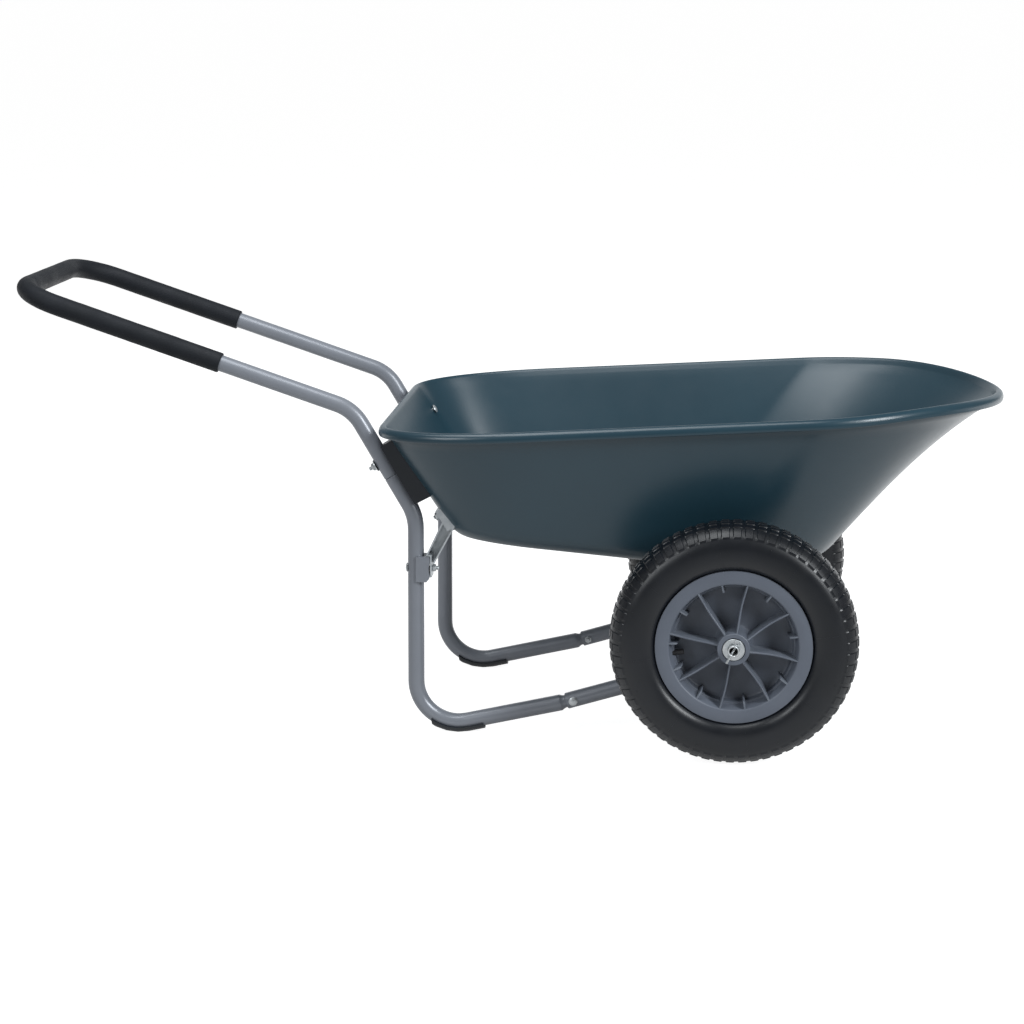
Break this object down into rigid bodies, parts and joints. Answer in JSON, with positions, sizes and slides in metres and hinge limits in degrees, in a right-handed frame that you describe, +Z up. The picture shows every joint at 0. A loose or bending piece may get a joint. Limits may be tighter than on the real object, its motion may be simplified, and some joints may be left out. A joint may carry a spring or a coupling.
{
  "type": "wheelbarrow",
  "caption": "Garden wheelbarrow with a moulded plastic tub on a bent round-tube frame, a looped foam-covered push handle, curved rest feet and side wheels turning on a fixed axle.",
  "frame": {"origin": "on the ground, under the middle of the whole barrow's box", "axes": "+X forward to the nose of the tub, +Y to the user's left, +Z up"},
  "size_m": [1.4599, 0.654, 0.6616],
  "materials": {
    "tub_plastic": "satin moulded polypropylene with a fine moulded skin",
    "grey_paint": "semi-gloss grey powder coat",
    "zinc": "bright zinc plating",
    "galvanised": "galvanised sheet steel",
    "tyre_rubber": "matt black rubber with a soft sheen on the sidewall",
    "tube_rubber": "smooth black rubber",
    "foam": "closed-cell foam sleeve",
    "black_plastic": "matt moulded plastic",
    "rim_plastic": "matt blue-grey moulded plastic",
    "bush_plastic": "smooth bearing plastic"
  },
  "bodies": {
    "frame": {"tub": "tub_plastic", "handle_tube": "grey_paint", "foam_grip": "foam", "front_frame": "grey_paint", "axle": "zinc", "leg_tube_left": "grey_paint", "foot_pad_left": "black_plastic", "spacer_block_left": "black_plastic", "leg_bracket_left": "grey_paint", "brace_left": "galvanised", "tub_bolt_left": "zinc", "tub_washer_left": "zinc", "tub_nut_left": "zinc", "bracket_bolt_left": "zinc", "bracket_nut_left": "zinc", "brace_bolt_left": "zinc", "brace_nut_left": "zinc", "joint_bolt_left": "zinc", "joint_nut_left": "zinc", "front_bolt_left": "zinc", "front_nut_left": "zinc", "axle_spacer_left": "zinc", "axle_washer_left": "zinc", "cotter_pin_left": "zinc", "leg_tube_right": "grey_paint", "foot_pad_right": "black_plastic", "spacer_block_right": "black_plastic", "leg_bracket_right": "grey_paint", "brace_right": "galvanised", "tub_bolt_right": "zinc", "tub_washer_right": "zinc", "tub_nut_right": "zinc", "bracket_bolt_right": "zinc", "bracket_nut_right": "zinc", "brace_bolt_right": "zinc", "brace_nut_right": "zinc", "joint_bolt_right": "zinc", "joint_nut_right": "zinc", "front_bolt_right": "zinc", "front_nut_right": "zinc", "axle_spacer_right": "zinc", "axle_washer_right": "zinc", "cotter_pin_right": "zinc"},
    "wheel_left": {"tyre_left": "tyre_rubber", "inner_tube_left": "tube_rubber", "valve_stem_left": "tube_rubber", "rim_left": "rim_plastic", "hub_bush_outer_left": "bush_plastic", "hub_bush_inner_left": "bush_plastic"},
    "wheel_right": {"tyre_right": "tyre_rubber", "inner_tube_right": "tube_rubber", "valve_stem_right": "tube_rubber", "rim_right": "rim_plastic", "hub_bush_outer_right": "bush_plastic", "hub_bush_inner_right": "bush_plastic"}
  },
  "joints": [
    {"name": "wheel_left_spin", "type": "hinge", "parent": "frame", "child": "wheel_left", "pos_m": [0.34, 0.273, 0.1775], "axis": [0, 1, 0], "continuous": true},
    {"name": "wheel_right_spin", "type": "hinge", "parent": "frame", "child": "wheel_right", "pos_m": [0.34, -0.273, 0.1775], "axis": [0, 1, 0], "continuous": true}
  ]
}
